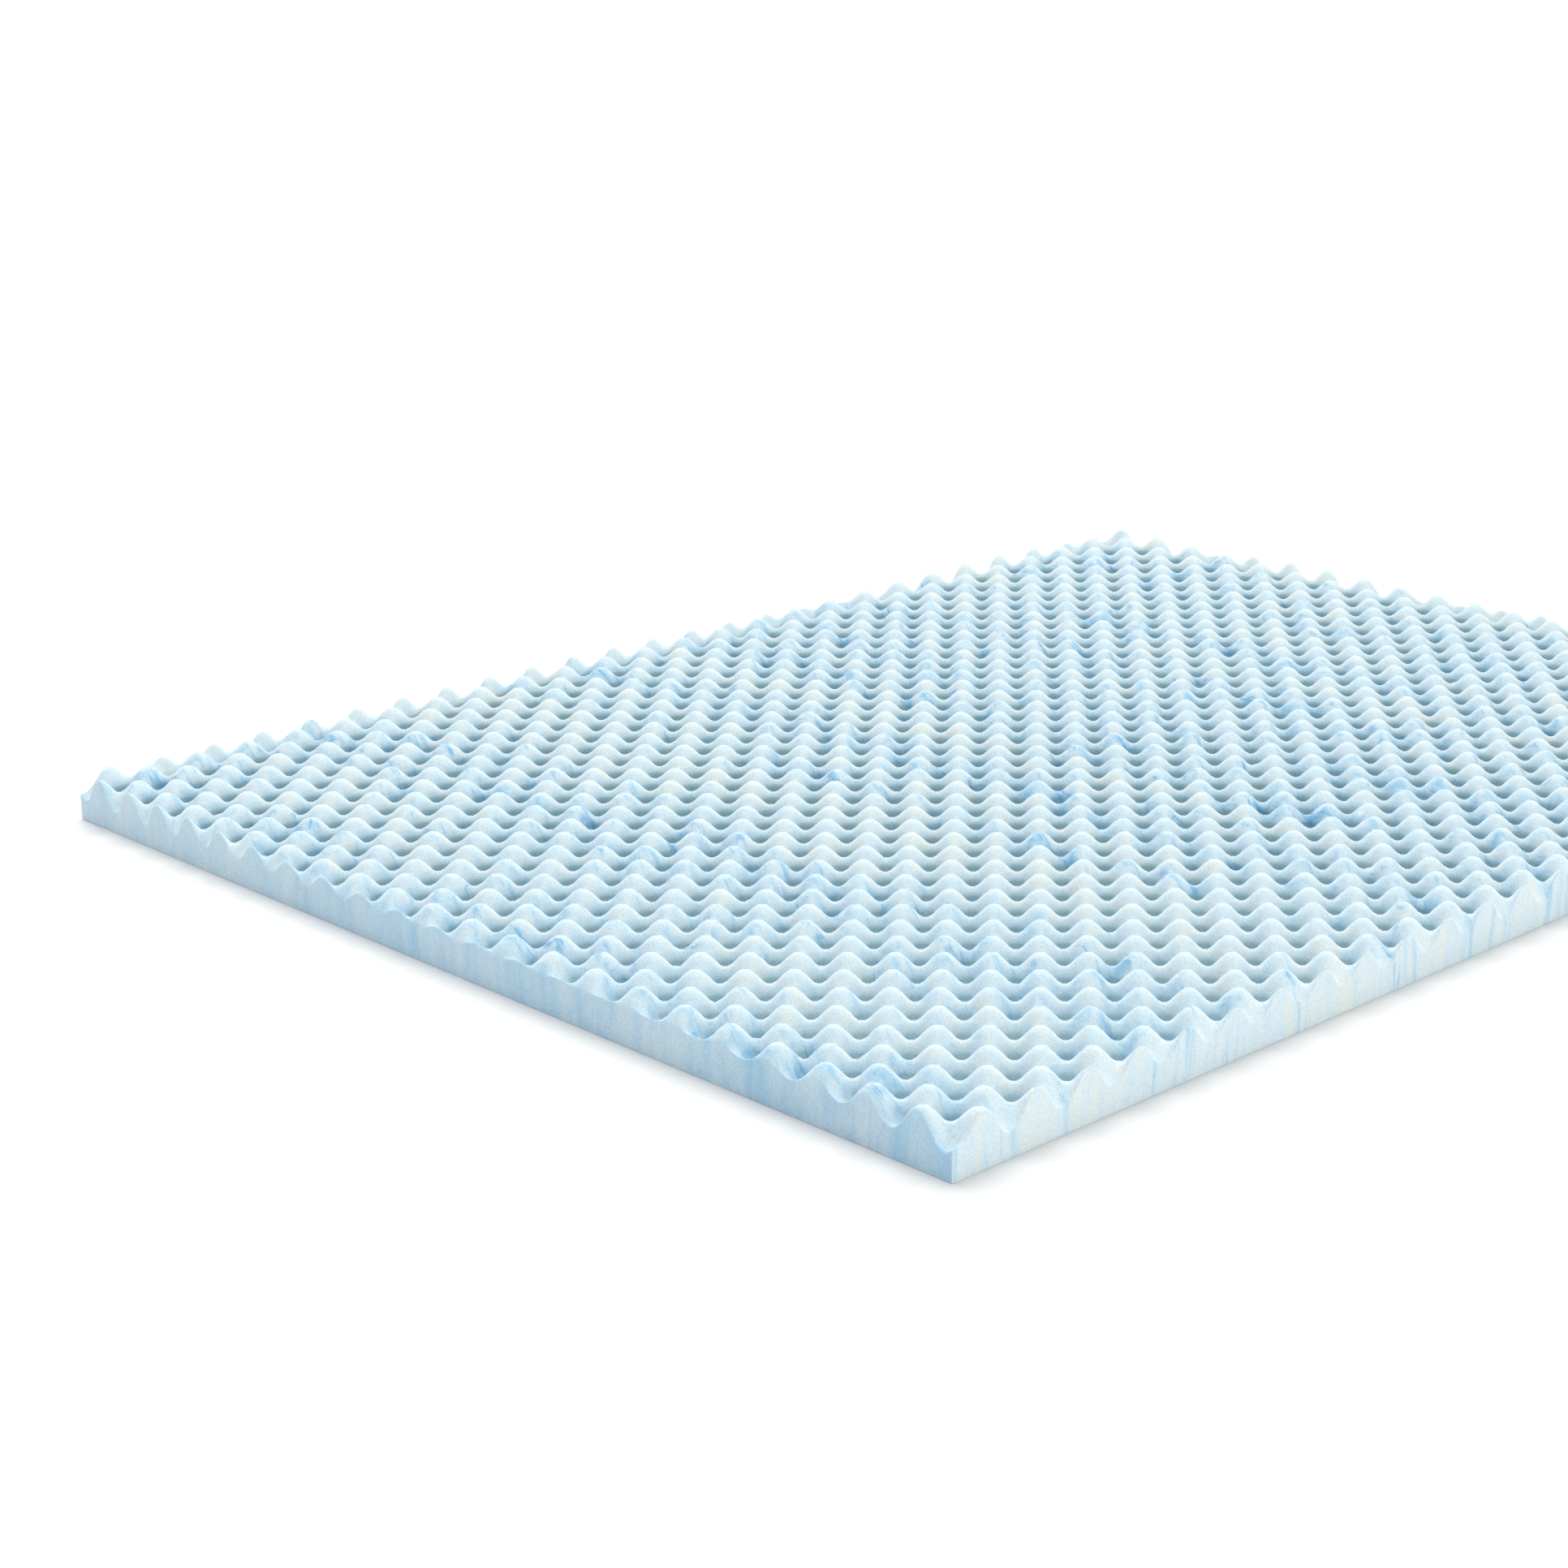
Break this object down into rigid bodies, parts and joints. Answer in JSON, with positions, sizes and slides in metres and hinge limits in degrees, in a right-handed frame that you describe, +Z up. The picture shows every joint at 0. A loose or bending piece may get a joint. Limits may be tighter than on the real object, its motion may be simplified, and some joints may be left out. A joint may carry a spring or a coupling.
{
  "type": "mattress topper",
  "caption": "Flat slab of gel-swirl foam with an egg-crate top of rounded peaks and valleys, laid on a mattress to cushion it.",
  "frame": {"origin": "middle of the flat underside", "axes": "+X across the width, +Y along the length, +Z up from the underside to the wavy top"},
  "size_m": [1.524, 2.032, 0.063],
  "materials": {
    "gel_foam": "matt open-cell foam, pale blue and creamy white marbling with bluer streaks"
  },
  "bodies": {
    "root": {"foam_topper": "gel_foam"}
  },
  "joints": []
}
